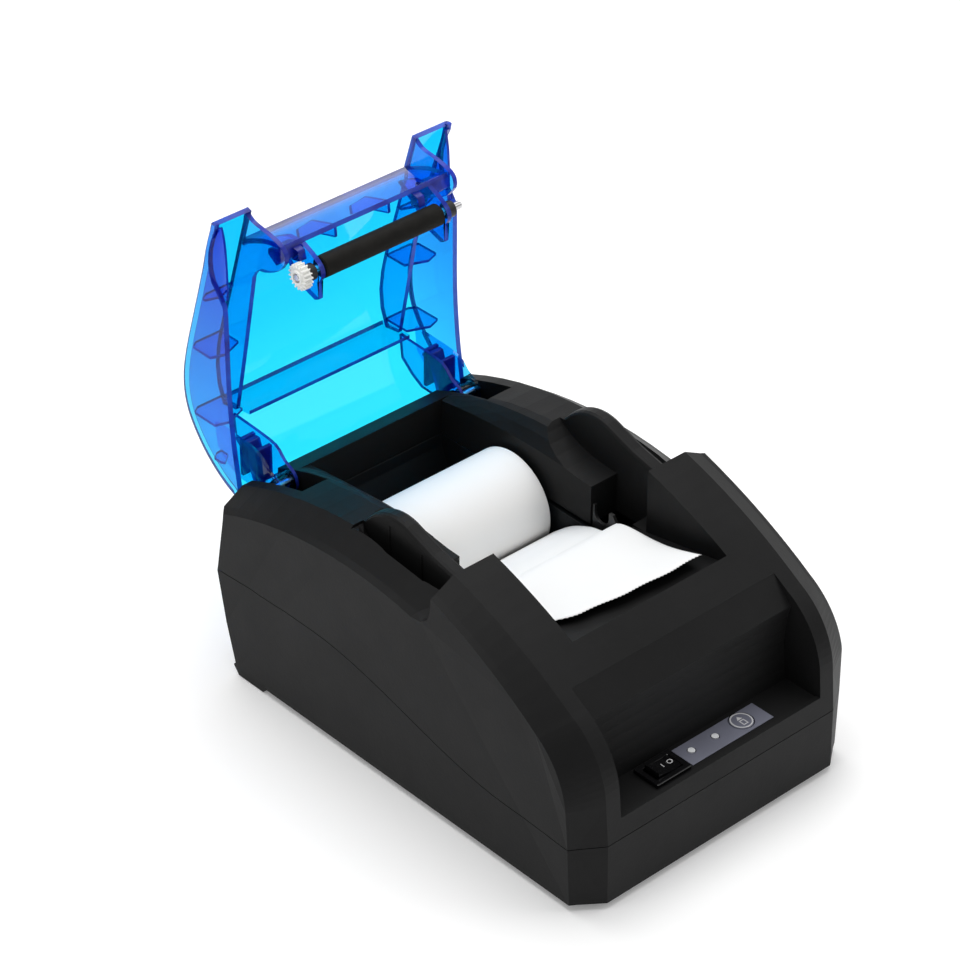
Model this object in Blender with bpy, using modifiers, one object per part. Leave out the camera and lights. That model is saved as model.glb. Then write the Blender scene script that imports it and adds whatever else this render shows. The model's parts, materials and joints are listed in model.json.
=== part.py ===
"""Desktop receipt printer with its roll cover standing open, for 58 mm paper.

Seen from the front, +X is to the right, -Y is the front and +Z is up.  Shapes are given in
millimetres in the case's own frame, and the empty "printer" shifts that frame so that the
scene's origin is under the middle of the open printer.  The cover is drawn closed, and its
hinge empty turns it open.
"""

import math

import bmesh
import bpy
from mathutils import Matrix, Vector

MM = 0.001
GAP = 0.3

# Case
ORIGIN_Y = 21.73           # case frame's y of the scene's origin
SIDE_X = 65.0              # half width at the parting line
CREST_X = 53.3             # half width where the sloping margin meets the deck
CORNER_X = 62.8            # half width where the rear corners begin
DRAFT = 0.037              # the sides lean in by this much per millimetre of height
DRAFT_Z = 42.0
WALL = 2.5
FLOOR_Z = 2.7
FRONT_Y = -86.5
COLLAR_Y = -11.4           # rear face of the front collar
COLLAR_Z = 95.0
DECK_R = 177.0             # the deck is an arc across the printer's length
DECK_Y = 27.5
DECK_Z = 89.0
DECK_FRONT = 10.7
PARTING_FRONT = 26.4
PARTING_REAR = 43.6

# Openings
ROLL_BAY_X = 30.6
ROLL_BAY_REAR = 88.0
WELL_X = 43.0
TRAY_X = 35.7
CAVITY_X = 47.0
PANEL_Z = 33.8
FIN_X = (43.0, 49.0)
SLOT_X = (37.2, 48.8)
INNER_TOP_Z = 64.0         # underside of the deck block

# Cover
HINGE_Y, HINGE_Z = 89.2, 74.1
OPEN_ANGLE = 90.0
SKIN = 2.2
HORN_X = 36.8
PIN_R = 1.4

# Mechanism
PLATEN_Y, PLATEN_Z = 5.9, 69.9
PLATEN_R = 4.0
PLATEN_HALF = 26.5
GEAR_X = (-36.4, -33.4)
GEAR_MODULE = 0.48
PLATEN_TEETH, IDLER_TEETH, PINION_TEETH = 18, 30, 12
IDLER_Y, IDLER_Z = 4.9, 57.1
MOTOR_Y, MOTOR_Z = -2.5, 50.0
MOTOR_R = 10.0

# Paper
ROLL_R, ROLL_HALF = 20.0, 28.75
ROLL_Y, ROLL_Z = 48.2, 56.4
CORE_R, CORE_BORE = 8.5, 6.2
SHEET_T = 0.3

# Front panel
LABEL_X, LABEL_Y, LABEL_SIZE = 9.0, -76.4, (38.4, 10.2)
SWITCH_X, SWITCH_Y, SWITCH_SIZE = -19.5, -76.6, (16.0, 11.4)
LED_X = (-5.0, 6.2)
LED_Y, LED_R = -75.6, 1.3
BUTTON_X, BUTTON_Y, BUTTON_R = 18.6, -75.7, 4.3

ROCKER_TILT = 8.0

# Rear sockets, as the low and high corners of their housings
PORTS = {
    "power_jack": ((-40, 82.5, 11.2), (-31, 95.2, 21.6)),
    "usb_port": ((-18, 80.5, 11.2), (-6, 95.2, 21.8)),
    "cash_drawer_port": ((12, 79.5, 11.2), (27, 95.2, 23.4)),
}
BOARD_POSTS = ((-40, 30), (40, 30), (-40, 78), (40, 78))
BOARD_CHIPS = ((0, 50, 14, 14, 1.4), (-25, 44, 10, 16, 4.0), (24, 46, 8, 8, 3.0))

MANY_CUTS = ("cover_shell",)    # the EXACT solver loses faces of this one

FEET = ((-46, -62), (46, -62), (-46, 66), (46, 66))
SCREWS = ((-55, -58), (55, -58), (-54, 52), (54, 52))


def clear_scene():
    for obj in list(bpy.data.objects):
        bpy.data.objects.remove(obj)


def new_collection(name):
    collection = bpy.data.collections.new(name)
    bpy.context.scene.collection.children.link(collection)
    return collection


def new_empty(name, location, parent=None):
    empty = bpy.data.objects.new(name, None)
    empty.location = Vector(location) * MM
    empty.parent = parent
    parts.objects.link(empty)
    return empty


def plastic(name, color, roughness, metallic=0.0):
    material = bpy.data.materials.new(name)
    material.use_nodes = True
    shader = material.node_tree.nodes["Principled BSDF"]
    shader.inputs["Base Color"].default_value = (*color, 1.0)
    shader.inputs["Roughness"].default_value = roughness
    shader.inputs["Metallic"].default_value = metallic
    material.diffuse_color = (*color, 1.0)
    return material


# ---- outlines, as (y, z) points in millimetres -------------------------------------------

def arc(start, through, end, steps=8):
    """Points of the circle through three points, from start to end."""
    a, b, c = Vector(start), Vector(through), Vector(end)
    ab, ac = b - a, c - a
    turn = 2 * ab.cross(ac)
    u = (ac.y * ab.length_squared - ab.y * ac.length_squared) / turn
    v = (ab.x * ac.length_squared - ac.x * ab.length_squared) / turn
    centre, radius = a + Vector((u, v)), math.hypot(u, v)
    first = math.atan2(-v, -u)
    span = math.atan2(c.y - centre.y, c.x - centre.x) - first
    if turn > 0:
        span %= 2 * math.pi
    else:
        span = -((-span) % (2 * math.pi))
    angles = [first + span * i / steps for i in range(steps + 1)]
    return [(centre.x + radius * math.cos(t), centre.y + radius * math.sin(t)) for t in angles]


def deck_z(y):
    return DECK_Z - DECK_R + math.sqrt(DECK_R ** 2 - (y - DECK_Y) ** 2)


def parting_z(y):
    t = min(max((y + 50) / 100, 0), 1)
    return PARTING_FRONT + (PARTING_REAR - PARTING_FRONT) * t * t * (3 - 2 * t)


def spread(first, last, steps):
    return [first + (last - first) * i / steps for i in range(steps + 1)]


def drafted(half_width, z):
    return half_width - DRAFT * abs(z - DRAFT_Z)


def crest_outline():
    """Side outline of the case between its two sloping margins."""
    front = [(FRONT_Y, FLOOR_Z), (FRONT_Y + 0.5, PARTING_FRONT), (-84.6, 42)]
    nose = arc((-84.4, 44), (-79.5, 58.5), (-67, 69.8), 12)
    slope = arc((-62, 72.9), (-40, 84.5), (COLLAR_Y, COLLAR_Z), 8)
    step = [(COLLAR_Y, 90), (COLLAR_Y, 86), (-10.8, deck_z(-10.8))]
    deck = [(y, deck_z(y)) for y in spread(-7, 97.8, 12)]
    rear = [(98.2, 69), (101.2, 43), (98.2, 21.8), (94.2, FLOOR_Z)]
    return front + nose + slope + step + deck + rear


def crease_outline(corner=2.2):
    """Side outline of the flat side walls, below the sloping margin."""
    front = [(-79, FLOOR_Z), (-78.6, PARTING_FRONT), (-77.9, 42)]
    nose = arc((-77.6, 44), (-72.5, 55.6), (-62, 65.2), 12)
    slope = arc((-57.5, 68.2), (-37.5, 79.3), (COLLAR_Y, 90), 8)
    step = [(-11.1, 84.5), (-9.8, 80.6), (-6.8, 78.4)]
    crease = arc((-2, 77.9), (55, 79.3), (97.8 - corner, 68.4), 12)
    rear = [(98 - corner, 66), (101.2 - corner, 43), (98.2 - corner, 21.8), (94.2 - corner, FLOOR_Z)]
    return front + nose + slope + step + crease + rear


def between(first, second, share):
    return [(a[0] + (b[0] - a[0]) * share, a[1] + (b[1] - a[1]) * share)
            for a, b in zip(first, second)]


def dome_outline(inset=0.0):
    """Top of the closed cover, from the tips of its horns to its rear edge."""
    i = inset
    front = [(-11.0, 94.8 - i), (20, 104.3 - i), (45, 112.0 - i)]
    peak = arc((49, 113.1 - i), (63, 114.8 - i), (76, 111.0 - i), 6)
    back = arc((79, 108.9 - i), (89 - 0.6 * i, 100.2 - 0.8 * i), (96.3 - i, 87.0), 6)
    return front + peak + back


def free_edge():
    """Lower edge of the cover's side walls, just clear of the deck."""
    return arc((92.5, 85.2), (55, 89.4), (18.5, 89.5), 8)


# ---- solids ------------------------------------------------------------------------------

def add_object(name, mesh, parent, material=None, tool=False):
    obj = bpy.data.objects.new(name, mesh)
    obj.parent = parent
    (tools if tool else parts).objects.link(obj)
    if tool:
        obj.hide_render = True
        obj.display_type = "WIRE"
    if material:
        mesh.materials.append(material)
    return obj


def finish_mesh(name, bm, smooth=False):
    bmesh.ops.recalc_face_normals(bm, faces=bm.faces)
    mesh = bpy.data.meshes.new(name)
    bm.to_mesh(mesh)
    bm.free()
    if smooth:
        mesh.shade_smooth()
        mesh.set_sharp_from_angle(angle=math.radians(35))
    return mesh


def loft_mesh(name, rings):
    """A closed solid through rings of (x, y, z) points, capped at both ends."""
    bm = bmesh.new()
    rows = [[bm.verts.new(Vector(point) * MM) for point in ring] for ring in rings]
    for row, following in zip(rows, rows[1:]):
        for k in range(len(row)):
            n = (k + 1) % len(row)
            bm.faces.new((row[k], row[n], following[n], following[k]))
    for end in (rows[0], rows[-1]):
        face = bm.faces.new(end)
        face.normal_update()
        bmesh.ops.triangulate(bm, faces=[face])
    return finish_mesh(name, bm, smooth=True)


def outline_mesh(name, outline, start, end, across="X"):
    """A flat outline with thickness.  The outline is (y, z) across X, (x, z) across Y, (x, y) across Z."""
    curve = bpy.data.curves.new(name, "CURVE")
    curve.dimensions = "2D"
    curve.fill_mode = "BOTH"
    curve.extrude = (end - start) / 2 * MM
    spline = curve.splines.new("POLY")
    spline.points.add(len(outline) - 1)
    for point, (u, v) in zip(spline.points, outline):
        point.co = (u * MM, v * MM, 0, 1)
    spline.use_cyclic_u = True
    guide = bpy.data.objects.new(name, curve)
    tools.objects.link(guide)
    graph = bpy.context.evaluated_depsgraph_get()
    mesh = bpy.data.meshes.new_from_object(guide.evaluated_get(graph))
    bpy.data.objects.remove(guide)
    columns = {"X": ((0, 0, 1), (1, 0, 0), (0, 1, 0)), "Y": ((1, 0, 0), (0, 0, -1), (0, 1, 0)),
               "Z": ((1, 0, 0), (0, 1, 0), (0, 0, 1))}[across]
    shift = {"X": (1, 0, 0), "Y": (0, 1, 0), "Z": (0, 0, 1)}[across]
    middle = Vector(shift) * ((start + end) / 2 * MM)
    mesh.transform(Matrix.Translation(middle) @ Matrix(columns).to_4x4())
    bm = bmesh.new()
    bm.from_mesh(mesh)
    bmesh.ops.remove_doubles(bm, verts=bm.verts, dist=1e-6)
    bpy.data.meshes.remove(mesh)
    return finish_mesh(name, bm, smooth=True)


def box_mesh(name, low, high):
    bm = bmesh.new()
    bmesh.ops.create_cube(bm, size=1.0)
    low, high = Vector(low) * MM, Vector(high) * MM
    for vert in bm.verts:
        vert.co = Vector((low[k] + (vert.co[k] + 0.5) * (high[k] - low[k]) for k in range(3)))
    return finish_mesh(name, bm)


def rod_mesh(name, centre, radius, length, across="X", sides=24, tip=None):
    """A cylinder, or a cone where tip is given, centred on a point and lying along an axis."""
    bm = bmesh.new()
    turn = {"X": Matrix.Rotation(math.pi / 2, 4, "Y"), "Y": Matrix.Rotation(-math.pi / 2, 4, "X"),
            "Z": Matrix.Identity(4)}[across]
    bmesh.ops.create_cone(bm, cap_ends=True, segments=sides, radius1=radius * MM,
                          radius2=(radius if tip is None else tip) * MM, depth=length * MM,
                          matrix=Matrix.Translation(Vector(centre) * MM) @ turn)
    return finish_mesh(name, bm, smooth=True)


def turned(name, profile, material, parent, location=(0, 0, 0), along_x=False, steps=24):
    """A turned piece: (radius, height) points down its outer side, with a Screw modifier."""
    bm = bmesh.new()
    verts = [bm.verts.new((r * MM, 0, h * MM)) for r, h in profile]
    for a, b in zip(verts, verts[1:] + ([verts[0]] if profile[0][0] > 0 else [])):
        bm.edges.new((a, b))
    mesh = bpy.data.meshes.new(name)
    bm.to_mesh(mesh)
    bm.free()
    obj = add_object(name, mesh, parent, material)
    obj.location = Vector(location) * MM
    if along_x:
        obj.rotation_euler = (0, math.pi / 2, 0)
    screw = obj.modifiers.new("Turn", "SCREW")
    screw.axis = "Z"
    screw.steps = screw.render_steps = steps
    screw.use_merge_vertices = True
    screw.merge_threshold = 0.00002
    screw.use_smooth_shade = True
    return obj


def boolean(obj, tool, operation):
    modifier = obj.modifiers.new(tool.name, "BOOLEAN")
    modifier.operation = operation
    modifier.solver = "MANIFOLD" if obj.name in MANY_CUTS else "EXACT"
    modifier.object = tool


def cut(obj, mesh):
    boolean(obj, add_object(mesh.name, mesh, obj.parent, tool=True), "DIFFERENCE")


def join(obj, mesh):
    boolean(obj, add_object(mesh.name, mesh, obj.parent, tool=True), "UNION")


def both_sides(mesh_maker, name, first, second):
    """The same shape at +X and mirrored at -X, made from its two X limits."""
    return [mesh_maker(name + "_right", first, second), mesh_maker(name + "_left", -second, -first)]


def loft_across(name, rings):
    """A loft across X from (half width, outline) pairs, the same on both sides of the middle."""
    halves = [[(drafted(x, z) if x > CREST_X else x, y, z) for y, z in outline] for x, outline in rings]
    mirrored = [[(-x, y, z) for x, y, z in ring] for ring in reversed(halves)]
    return loft_mesh(name, mirrored + halves)


# ---- the case ----------------------------------------------------------------------------

def case_body(name, material):
    crest, crease = crest_outline(), crease_outline()
    corner = between(crease_outline(corner=0.0), crest, (SIDE_X - CORNER_X) / (SIDE_X - CREST_X))
    rings = [(CREST_X, crest), (CORNER_X, corner), (SIDE_X, crease)]
    return add_object(name, loft_across(name, rings), printer, material)


def parting_tool(name, offset, far_z):
    line = [(y, parting_z(y) + offset) for y in [-120] + spread(-50, 50, 14) + [140]]
    return outline_mesh(name, line + [(140, far_z), (-120, far_z)], -80, 80)


def make_lower_case():
    case = case_body("lower_case", black_plastic)
    cut(case, parting_tool("above_parting", -0.15, 200))
    rings = []
    for x, front in ((50.5, FRONT_Y + WALL), (61.5, -76.3)):
        outline = [(front, FLOOR_Z + WALL), (front + 0.5, 60), (99 - WALL, 60),
                   (98.5 - WALL, 43), (95.7 - WALL, 21.8), (92 - WALL, FLOOR_Z + WALL)]
        rings.append((x, outline))
    cut(case, loft_across("lower_hollow", rings))
    skirt = [(76, 4), (78, 0.3), (91.5, 0.3), (94.0, 3.4), (94.0, 4)]
    for x in (-1, 1):
        side = sorted((x * 46.0, x * 63.2))
        join(case, outline_mesh(f"skirt_{x}", skirt, side[0], side[1]))
    for n, (x, y) in enumerate(SCREWS):
        top = parting_z(y) - 2
        join(case, rod_mesh(f"boss_{n}", (x, y, (top + 4) / 2), 4.2, top - 4, "Z"))
        cut(case, rod_mesh(f"shank_hole_{n}", (x, y, 20), 1.6, 80, "Z", 16))
        cut(case, rod_mesh(f"head_hole_{n}", (x, y, 4.0), 3.2, 7.2, "Z"))
    for n, (x, y) in enumerate(BOARD_POSTS):
        join(case, rod_mesh(f"board_post_{n}", (x, y, 6.8), 2.6, 4.4, "Z", 16))
    for n, (low, high) in enumerate(PORTS.values()):
        hole_low = (low[0] - 0.4, 88, low[2] - 0.4)
        hole_high = (high[0] + 0.4, 110, high[2] + 0.4)
        cut(case, box_mesh(f"port_hole_{n}", hole_low, hole_high))
    for n, (x, y) in enumerate(FEET):
        cut(case, rod_mesh(f"foot_seat_{n}", (x, y, 2.7), 6.3, 1.6, "Z"))
    return case


def make_upper_case():
    case = case_body("upper_case", black_plastic)
    for mesh in both_sides(fin_mesh, "fin", *FIN_X):
        join(case, mesh)
    cut(case, parting_tool("below_parting", 0.15, -60))
    cut(case, box_mesh("well", (-WELL_X, -4.8, 20), (WELL_X, DECK_FRONT, 130)))
    cut(case, box_mesh("well_front", (-WELL_X, COLLAR_Y, 69.5), (WELL_X, -4, 130)))
    cut(case, box_mesh("roll_bay", (-ROLL_BAY_X, 10, 20), (ROLL_BAY_X, ROLL_BAY_REAR, 130)))
    cut(case, margin_slope())
    dip = [(2, 79.6), (10.7, 79.6), (16.2, 79.8), (23.2, 80.6), (29.3, 82.4), (34, 84.4), (37.6, 86.6),
           (40.6, 89.2), (40.6, 130), (2, 130)]
    cut(case, outline_mesh("front_dip", dip, -WELL_X, WELL_X))
    tray = [(-51.5, 130), (-49.4, 79.7), (-48.6, 76.6), (-4, 68.4), (-4, 130)]
    cut(case, outline_mesh("tray", tray, -TRAY_X, TRAY_X))
    cavity = [(-60.5, 76), (-61, 73.3), *arc((-69.5, 64.5), (-67.4, 49), (-69.3, PANEL_Z), 6),
              (-83.2, PANEL_Z), (-83.4, PANEL_Z + 0.7), (-110, PANEL_Z + 0.7), (-110, 76)]
    cut(case, outline_mesh("front_cavity", cavity, -CAVITY_X, CAVITY_X))
    for mesh in both_sides(slot_mesh, "hinge_slot", *SLOT_X):
        cut(case, mesh)
    for side in (-1, 1):
        cut(case, finger_pocket(side))
        name = f"pin_hole_{side}"
        cut(case, rod_mesh(name, (side * 43, HINGE_Y, HINGE_Z), PIN_R + GAP, 14.5, "X", 16))
        cut(case, side_hollow(side))
        for n, (y, low, high) in enumerate(((25.0, 82, 93.0), (9.0, 78, 90.0))):
            near, far = sorted((side * 48.8, side * 49.35))
            join(case, box_mesh(f"pocket_rib_{side}_{n}", (near, y - 0.3, low), (far, y + 0.3, high)))
    for mesh in case_hollows():
        cut(case, mesh)
    for n, (x, y) in enumerate(SCREWS):
        low, high = parting_z(y) - 1.4, 69 if y < 0 else 83
        join(case, rod_mesh(f"upper_boss_{n}", (x, y, (low + high) / 2), 3.8, high - low, "Z"))
        cut(case, rod_mesh(f"upper_hole_{n}", (x, y, low + 5), 1.6, 12, "Z", 16))
    panel_cuts(case)
    return case


def fin_mesh(name, first, second):
    """The low arch beside the well, which the cover's horn closes over.  Its crest is rounded."""
    def outline(inset):
        crest = arc((14.5, 95.9 - inset), (24.0, 97.4 - inset), (36.5, 90.6 - inset), 10)
        return [(-13, 62), (-13, 88.2 - inset), (4, 92.2 - inset), *crest,
                (41.3, 85.6 - inset), (41.6, 84 - inset), (41.6, 62)]
    edges = ((first, 1.3), (first + 0.5, 0.5), (first + 1.5, 0.0),
             (second - 1.5, 0.0), (second - 0.5, 0.5), (second, 1.3))
    return loft_mesh(name, [[(x, y, z) for y, z in outline(inset)] for x, inset in edges])


def margin_slope():
    """Takes the deck down towards the roll bay on both sides, in a soft roll."""
    ys = spread(5, ROLL_BAY_REAR, 10)
    high = [(y, deck_z(y) + 0.3) for y in ys]
    edge = arc((5, 79.2), (50, 81.2), (ROLL_BAY_REAR, 77.6), 10)
    top = [(ROLL_BAY_REAR, 120), (5, 120)]
    shares = ((ROLL_BAY_X - 2, 0.0), (ROLL_BAY_X, 0.0), (33.6, 0.52), (36.6, 0.86), (41.0, 1.0))
    return loft_across("margin_slope", [(x, between(edge, high, share) + top) for x, share in shares])


def slot_mesh(name, first, second):
    outline = [(70.8, 67), (95.3, 67), (95.3, 69.5), (112, 69.5), (112, 120), (70.8, 120)]
    return outline_mesh(name, outline, first, second)


def finger_pocket(side):
    """A steep hollow outside the fin, deepest at the fin and rounded at both ends."""
    def opening(depth):
        floor = arc((38.5, 87.5), (30, 80.5 - depth), (20, 78.2 - depth), 6)
        front = arc((2, 76.4 - depth), (-5.5, 78 - depth), (-8.6, 86), 6)
        return floor + front + [(-8.6, 120), (38.5, 120)]
    widths = ((FIN_X[1], 2.0), (51.2, -2.2), (53.6, -7.4), (56.0, -11.5), (58.0, -14.0))
    rings = [[(side * x, y, z) for y, z in opening(depth)] for x, depth in widths]
    return loft_mesh(f"finger_pocket_{side}", rings)


def side_hollow(side):
    """Hollows the case between its middle block and its side wall."""
    def outline(drop, corner):
        front = [(-83.8 + corner, 15), (-83.8 + corner, 33), (-82.0 + corner, 44 - drop)]
        slope = [(-66, 62 - drop), (-40, 79 - drop), (-14.5, 88 - drop)]
        middle = [(-14.2, 66), (44, 66)]
        rear = [(44.6, 84 - drop), (70, 79.5 - drop), (93.5, 68 - drop), (96, 43), (93, 22), (90, 15)]
        return front + slope + middle + rear
    widths = ((49.6, 0.0, 0.0), (CREST_X - 1.5, 0.0, 0.0), (SIDE_X - WALL, 7.5, 8.0))
    rings = []
    for x, drop, corner in widths:
        lean = x > CREST_X
        rings.append([(side * (drafted(x, z) if lean else x), y, z) for y, z in outline(drop, corner)])
    return loft_mesh(f"side_hollow_{side}", rings)


def case_hollows():
    """Hollows under the front cavity and the tray, and under the deck around the roll bin."""
    front = [(-83.8, 15), (-83.8, PANEL_Z - WALL), (-66.6, PANEL_Z - WALL), (-64.6, 49),
             (-66.6, 62.6), (-59, 70), (-53, 74), (-48, 73.6), (-14, 64.4), (-14, 15)]
    rear = [(-14.2, 15), (-14.2, INNER_TOP_Z), (93, INNER_TOP_Z), (96, 43), (93, 22), (90, 15)]
    return [outline_mesh("front_hollow", front, -49.8, 49.8),
            outline_mesh("rear_hollow", rear, -49.8, 49.8)]


def panel_cuts(case):
    x, y = SWITCH_X, SWITCH_Y
    wide, deep = SWITCH_SIZE[0] / 2 - 0.9, SWITCH_SIZE[1] / 2 - 0.9
    cut(case, box_mesh("switch_hole", (x - wide, y - deep, 20), (x + wide, y + deep, 50)))
    cut(case, rod_mesh("button_hole", (BUTTON_X, BUTTON_Y, 32), BUTTON_R + 0.4, 20, "Z"))
    for n, led_x in enumerate(LED_X):
        cut(case, rod_mesh(f"led_hole_{n}", (led_x, LED_Y, 32), LED_R + GAP, 20, "Z", 16))


def make_paper_bin():
    """The trough under the deck that the roll lies in."""
    inner = [(88.0, 70), (87.4, 59), *arc((84.0, 50), (48.2, 36.0), (15.5, 48), 12), (13.6, 56), (13.4, 70)]
    outer = [(89.8, INNER_TOP_Z - GAP), (89.2, 58), *arc((85.4, 48.5), (48.2, 34.2), (14.2, 46.8), 12),
             (11.8, 56), (11.6, 61.4)]
    trough = outline_mesh("paper_bin", outer, -32.6, 32.6)
    tray = add_object("paper_bin", trough, printer, bin_plastic)
    cut(tray, outline_mesh("bin_hollow", inner, -ROLL_BAY_X, ROLL_BAY_X))
    cut(tray, box_mesh("sensor_window", (8, 18, 30), (14, 24, 50)))
    return tray


# ---- the mechanism -----------------------------------------------------------------------

def make_head_bracket():
    plate = [(-8, 43), (-8, 57), (-4, 61), (-4, 66), (0.5, 72.4), (10.3, 72.4), (10.3, 43)]
    cheek = outline_mesh("head_bracket", plate, 31.2, 32.4)
    bracket = add_object("head_bracket", cheek, printer, black_steel)
    join(bracket, outline_mesh("left_cheek", plate, -32.4, -31.2))
    join(bracket, box_mesh("bracket_top", (-32, -3.5, 60.6), (32, 10.2, 61.8)))
    join(bracket, rod_mesh("idler_post", (-34.8, IDLER_Y, IDLER_Z), 1.1, 5.6, "X", 16))
    for side in (-1, 1):
        cut(bracket, rod_mesh(f"notch_{side}", (side * 32, PLATEN_Y, PLATEN_Z), 3.5, 3, "X"))
        low, high = sorted((side * 30, side * 34))
        mouth_low, mouth_high = (low, PLATEN_Y - 3.5, PLATEN_Z), (high, PLATEN_Y + 3.5, 80)
        cut(bracket, box_mesh(f"notch_mouth_{side}", mouth_low, mouth_high))
    cut(bracket, rod_mesh("shaft_hole", (-32, MOTOR_Y, MOTOR_Z), 4.2, 3, "X"))
    return bracket


def make_print_head():
    outline = [(-2.4, 62.1), (-2.4, 64.0), (1.5, 64.3), (4.4, 64.5), (7.4, 64.5), (9.8, 63.8), (9.8, 62.1)]
    head = outline_mesh("print_head", outline, -27, 27)
    return add_object("print_head", head, printer, head_ceramic)


def make_tear_bar():
    teeth = 28
    half, top, bottom = 28.0, 70.2, 62.2
    edge = []
    for n in range(teeth):
        left = -half + 2 * half * n / teeth
        edge += [(left, top - 1.1), (left + half / teeth, top)]
    outline = [(half, top - 1.1), (half, bottom), (-half, bottom)]
    bar = outline_mesh("tear_bar", edge + outline, -4.4, -3.6, "Y")
    return add_object("tear_bar", bar, printer, zinc_steel)


def gear_mesh(name, teeth, width, bore, phase=0.0):
    """A spur gear on the X axis with straight-sided teeth and a bore."""
    outer, root = GEAR_MODULE * (teeth + 2) / 2, GEAR_MODULE * (teeth - 2.6) / 2
    outline = []
    for n in range(teeth):
        for share, radius in ((-0.27, root), (-0.11, outer), (0.11, outer), (0.27, root)):
            angle = (n + share) * 2 * math.pi / teeth + phase
            outline.append((radius * math.cos(angle), radius * math.sin(angle)))
    gear = outline_mesh(name, outline, -width / 2, width / 2)
    return gear, rod_mesh(name + "_bore", (0, 0, 0), bore, width + 2, "X", 20)


def make_gear(name, teeth, y, z, bore, parent, phase=0.0, hub=None):
    mesh, bore_tool = gear_mesh(name, teeth, GEAR_X[1] - GEAR_X[0], bore, phase)
    gear = add_object(name, mesh, parent, white_nylon)
    gear.location = Vector(((GEAR_X[0] + GEAR_X[1]) / 2, y, z)) * MM
    if hub:
        hub_mesh = rod_mesh(name + "_hub", (0, 0, 0), hub, 4.4, "X")
        tool = add_object(name + "_hub", hub_mesh, gear, tool=True)
        boolean(gear, tool, "UNION")
    tool = add_object(bore_tool.name, bore_tool, gear, tool=True)
    boolean(gear, tool, "DIFFERENCE")
    return gear


def make_drive():
    motor = rod_mesh("stepper_motor", (-23, MOTOR_Y, MOTOR_Z), MOTOR_R, 15, "X", 32)
    motor = add_object("stepper_motor", motor, printer, zinc_steel)
    join(motor, rod_mesh("motor_boss", (-31, MOTOR_Y, MOTOR_Z), 3.4, 3, "X"))
    join(motor, rod_mesh("motor_shaft", (-34, MOTOR_Y, MOTOR_Z), 0.9, 8, "X", 16))
    towards = math.atan2(MOTOR_Z - IDLER_Z, MOTOR_Y - IDLER_Y)
    half_tooth = math.pi / PINION_TEETH
    idler = new_empty("idler_axis", (0, IDLER_Y, IDLER_Z), printer)
    pinion = new_empty("motor_axis", (0, MOTOR_Y, MOTOR_Z), printer)
    make_gear("idler_gear", IDLER_TEETH, 0, 0, 1.4, idler, towards)
    make_gear("motor_pinion", PINION_TEETH, 0, 0, 1.2, pinion, towards + math.pi + half_tooth)


def make_platen():
    """The rubber roller, its shaft and its gear, on the axis that the closed cover gives it."""
    axis = new_empty("platen_axis", (0, PLATEN_Y - HINGE_Y, PLATEN_Z - HINGE_Z), cover_hinge)
    profile = [(0.0, 36.8), (1.1, 36.8), (1.5, 36.4), (1.5, -36.6), (1.1, -37.0), (0.0, -37.0)]
    turned("platen_shaft", profile, bright_steel, axis, along_x=True, steps=20)
    rubber = [(PLATEN_R - 0.4, PLATEN_HALF), (PLATEN_R, PLATEN_HALF - 0.4), (PLATEN_R, 0.4 - PLATEN_HALF),
              (PLATEN_R - 0.4, -PLATEN_HALF), (1.5 + GAP, -PLATEN_HALF), (1.5 + GAP, PLATEN_HALF)]
    turned("platen_rubber", rubber, roller_rubber, axis, along_x=True, steps=32)
    make_gear("platen_gear", PLATEN_TEETH, 0, 0, 1.5 + GAP, axis, hub=2.7)
    for name, x in (("bush_left", -31.3), ("bush_right", 31.3)):
        profile = [(3.0, 1.3), (3.0, -1.3), (1.5 + GAP, -1.3), (1.5 + GAP, 1.3)]
        bush = turned(name, profile, black_nylon, cover_hinge, along_x=True, steps=20)
        bush.location = Vector((x, PLATEN_Y - HINGE_Y, PLATEN_Z - HINGE_Z)) * MM


# ---- the cover, in the closed case frame -------------------------------------------------

def cover_piece(name, mesh, material):
    """Hangs a mesh that is drawn in the closed case frame on the cover's hinge."""
    obj = add_object(name, mesh, cover_hinge, material)
    obj.location = Vector((0, -HINGE_Y, -HINGE_Z)) * MM
    return obj


def cover_tool(obj, mesh, operation):
    tool = add_object(mesh.name, mesh, cover_hinge, tool=True)
    tool.location = Vector((0, -HINGE_Y, -HINGE_Z)) * MM
    boolean(obj, tool, operation)


def scoop_mesh(name, side):
    """The dished finger grip in the horn's side wall, as a leaning strip."""
    upper = arc((-9.2, 92.6), (5.0, 96.6), (19.0, 90.8), 8)
    lower = arc((-9.2, 91.6), (5.0, 89.3), (19.0, 89.6), 8)
    rings = []
    for (y, high), (_, low) in zip(upper, lower):
        depth = (high - low) / 7.3
        inner = CREST_X - SKIN - 0.2 - 1.4 * depth
        rings.append([(side * (CREST_X - 0.1), y, high + 0.3), (side * (inner + SKIN), y, low),
                      (side * inner, y, low), (side * (CREST_X - SKIN), y, high + 0.3)])
    return loft_mesh(name, rings)


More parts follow.
